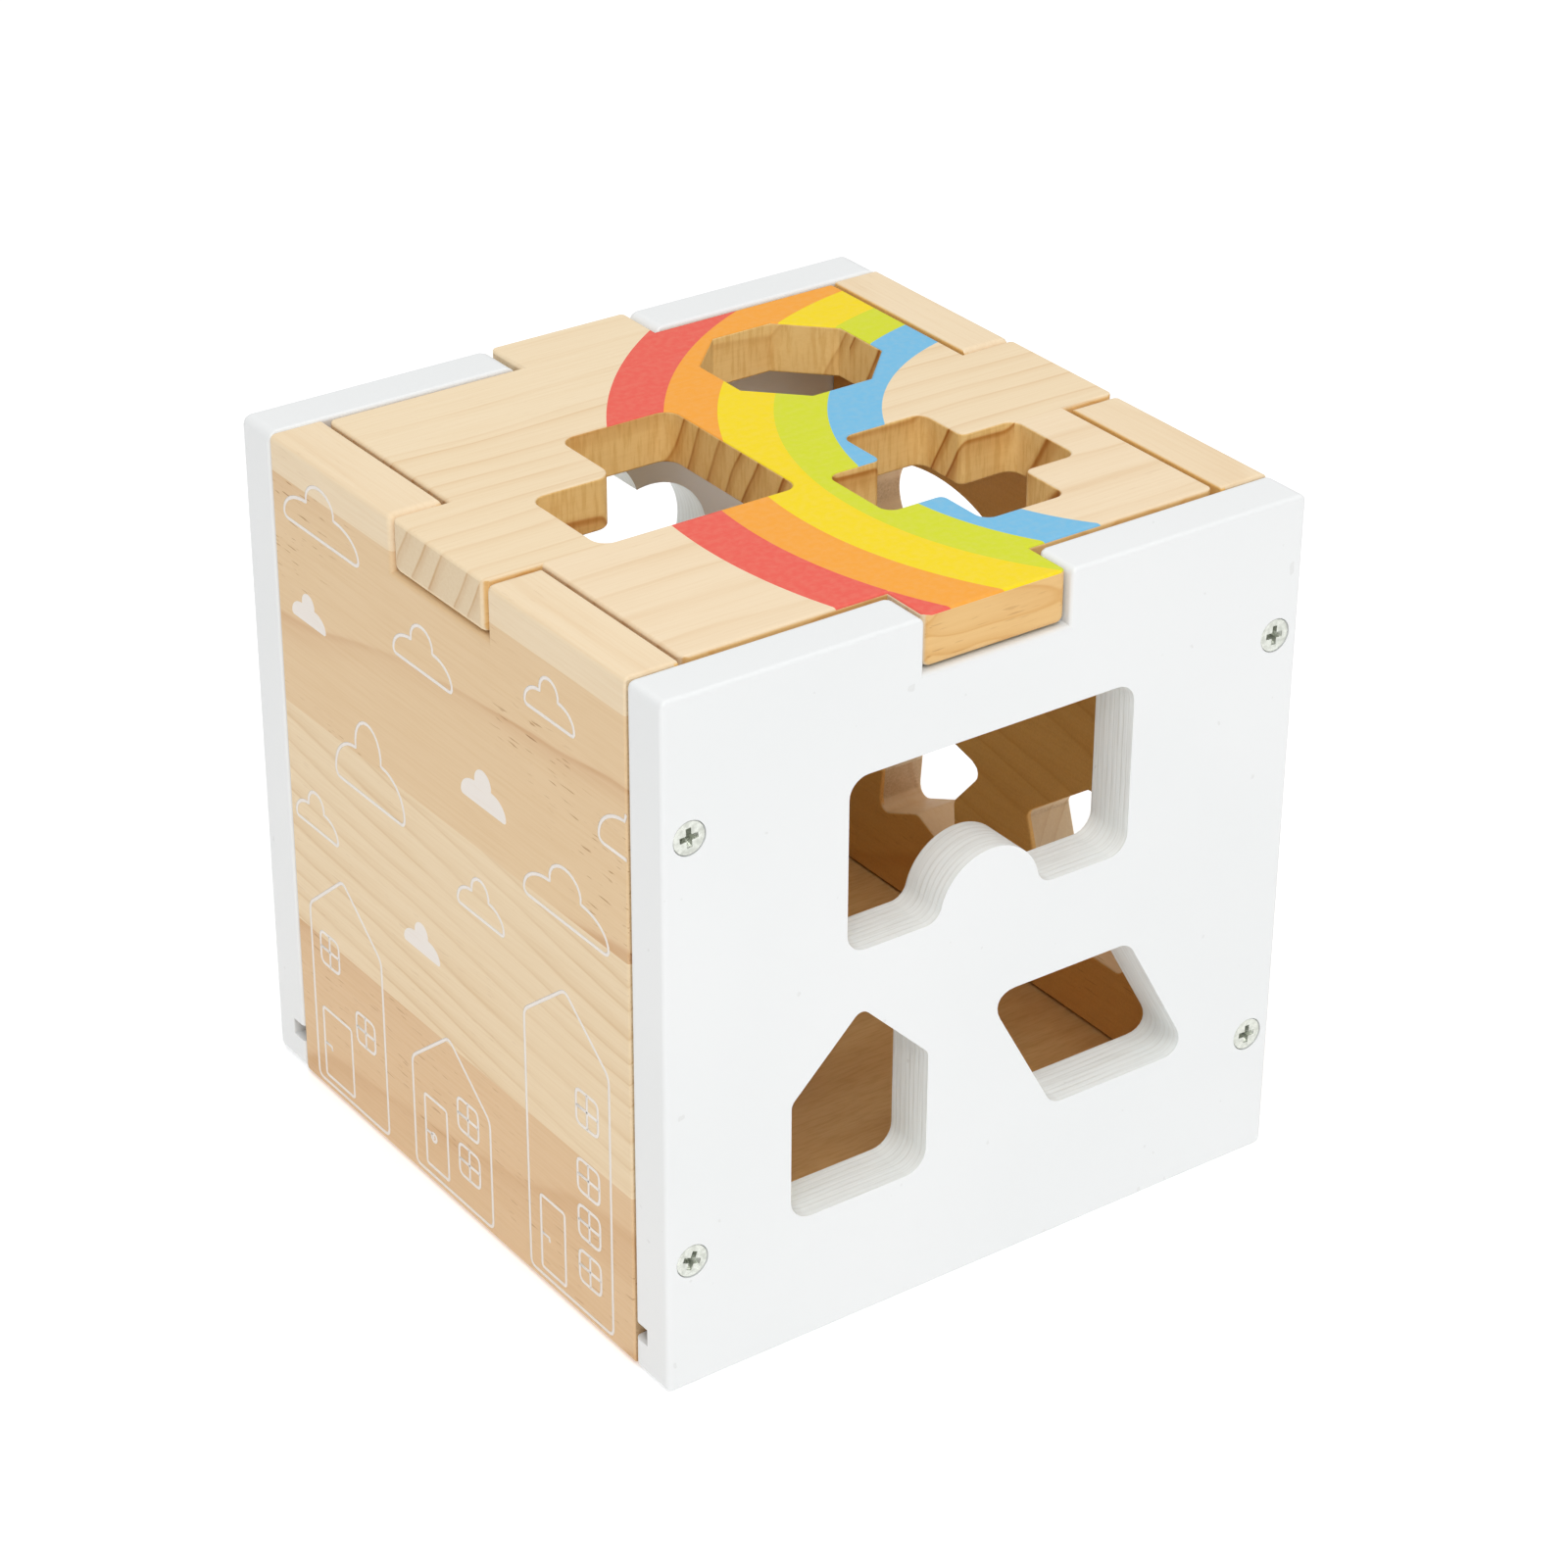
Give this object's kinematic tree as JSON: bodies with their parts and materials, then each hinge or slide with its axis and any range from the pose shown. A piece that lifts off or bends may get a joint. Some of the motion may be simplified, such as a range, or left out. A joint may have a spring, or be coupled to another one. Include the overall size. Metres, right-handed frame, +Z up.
{
  "type": "shape sorter",
  "caption": "Wooden shape-sorting cube with a tabbed lift-off lid, cut-outs in the lid and three sides, and a matching block for each cut-out.",
  "frame": {"origin": "centre of the footprint, at the bottom edges of the four panels", "axes": "+X to the right along the white front panel, +Y from the front panel to the back panel, +Z up"},
  "size_m": [0.14, 0.14, 0.14],
  "materials": {
    "white_ply": "plywood with smooth satin white paint",
    "pine": "edge-glued pine with a clear matt lacquer",
    "lid_pine": "edge-glued pine with a printed rainbow and a clear matt lacquer",
    "thin_ply": "bare thin plywood",
    "zinc_screw": "bright zinc plating",
    "red_block": "red water-based paint",
    "orange_block": "orange water-based paint",
    "yellow_block": "yellow water-based paint",
    "lime_block": "lime water-based paint",
    "blue_block": "blue water-based paint"
  },
  "bodies": {
    "box": {"front_panel": "white_ply", "back_panel": "white_ply", "left_panel": "pine", "right_panel": "pine", "bottom_board": "thin_ply", "screw_front_left_lower": "zinc_screw", "screw_front_left_upper": "zinc_screw", "screw_front_right_lower": "zinc_screw", "screw_front_right_upper": "zinc_screw", "screw_back_left_lower": "zinc_screw", "screw_back_left_upper": "zinc_screw", "screw_back_right_lower": "zinc_screw", "screw_back_right_upper": "zinc_screw"},
    "lid": {"lid": "lid_pine"},
    "block_bridge": {"block_bridge": "red_block"},
    "block_star": {"block_star": "red_block"},
    "block_slant": {"block_slant": "orange_block"},
    "block_plus": {"block_plus": "orange_block"},
    "block_pentagon": {"block_pentagon": "yellow_block"},
    "block_octagon": {"block_octagon": "yellow_block"},
    "block_l": {"block_l": "lime_block"},
    "block_house": {"block_house": "lime_block"},
    "block_oval": {"block_oval": "blue_block"},
    "block_cloud": {"block_cloud": "blue_block"}
  },
  "joints": [
    {"name": "lid_lift", "type": "slide", "parent": "box", "child": "lid", "axis": [0, 0, 1], "range_m": [0, 0.1]},
    {"name": "bridge_lift", "type": "slide", "parent": "box", "child": "block_bridge", "axis": [0, 0, 1], "range_m": [0, 0.009]},
    {"name": "cloud_lift", "type": "slide", "parent": "block_bridge", "child": "block_cloud", "axis": [0, 0, 1], "range_m": [0, 0.009]},
    {"name": "plus_lift", "type": "slide", "parent": "block_cloud", "child": "block_plus", "axis": [0, 0, 1], "range_m": [0, 0.009]},
    {"name": "l_lift", "type": "slide", "parent": "block_plus", "child": "block_l", "axis": [0, 0, 1], "range_m": [0, 0.009]},
    {"name": "star_lift", "type": "slide", "parent": "box", "child": "block_star", "axis": [0, 0, 1], "range_m": [0, 0.009]},
    {"name": "slant_lift", "type": "slide", "parent": "block_star", "child": "block_slant", "axis": [0, 0, 1], "range_m": [0, 0.009]},
    {"name": "oval_lift", "type": "slide", "parent": "block_slant", "child": "block_oval", "axis": [0, 0, 1], "range_m": [0, 0.009]},
    {"name": "pentagon_lift", "type": "slide", "parent": "block_oval", "child": "block_pentagon", "axis": [0, 0, 1], "range_m": [0, 0.009]},
    {"name": "house_lift", "type": "slide", "parent": "box", "child": "block_house", "axis": [0, 0, 1], "range_m": [0, 0.08]},
    {"name": "octagon_lift", "type": "slide", "parent": "box", "child": "block_octagon", "axis": [0, 0, 1], "range_m": [0, 0.086]}
  ]
}
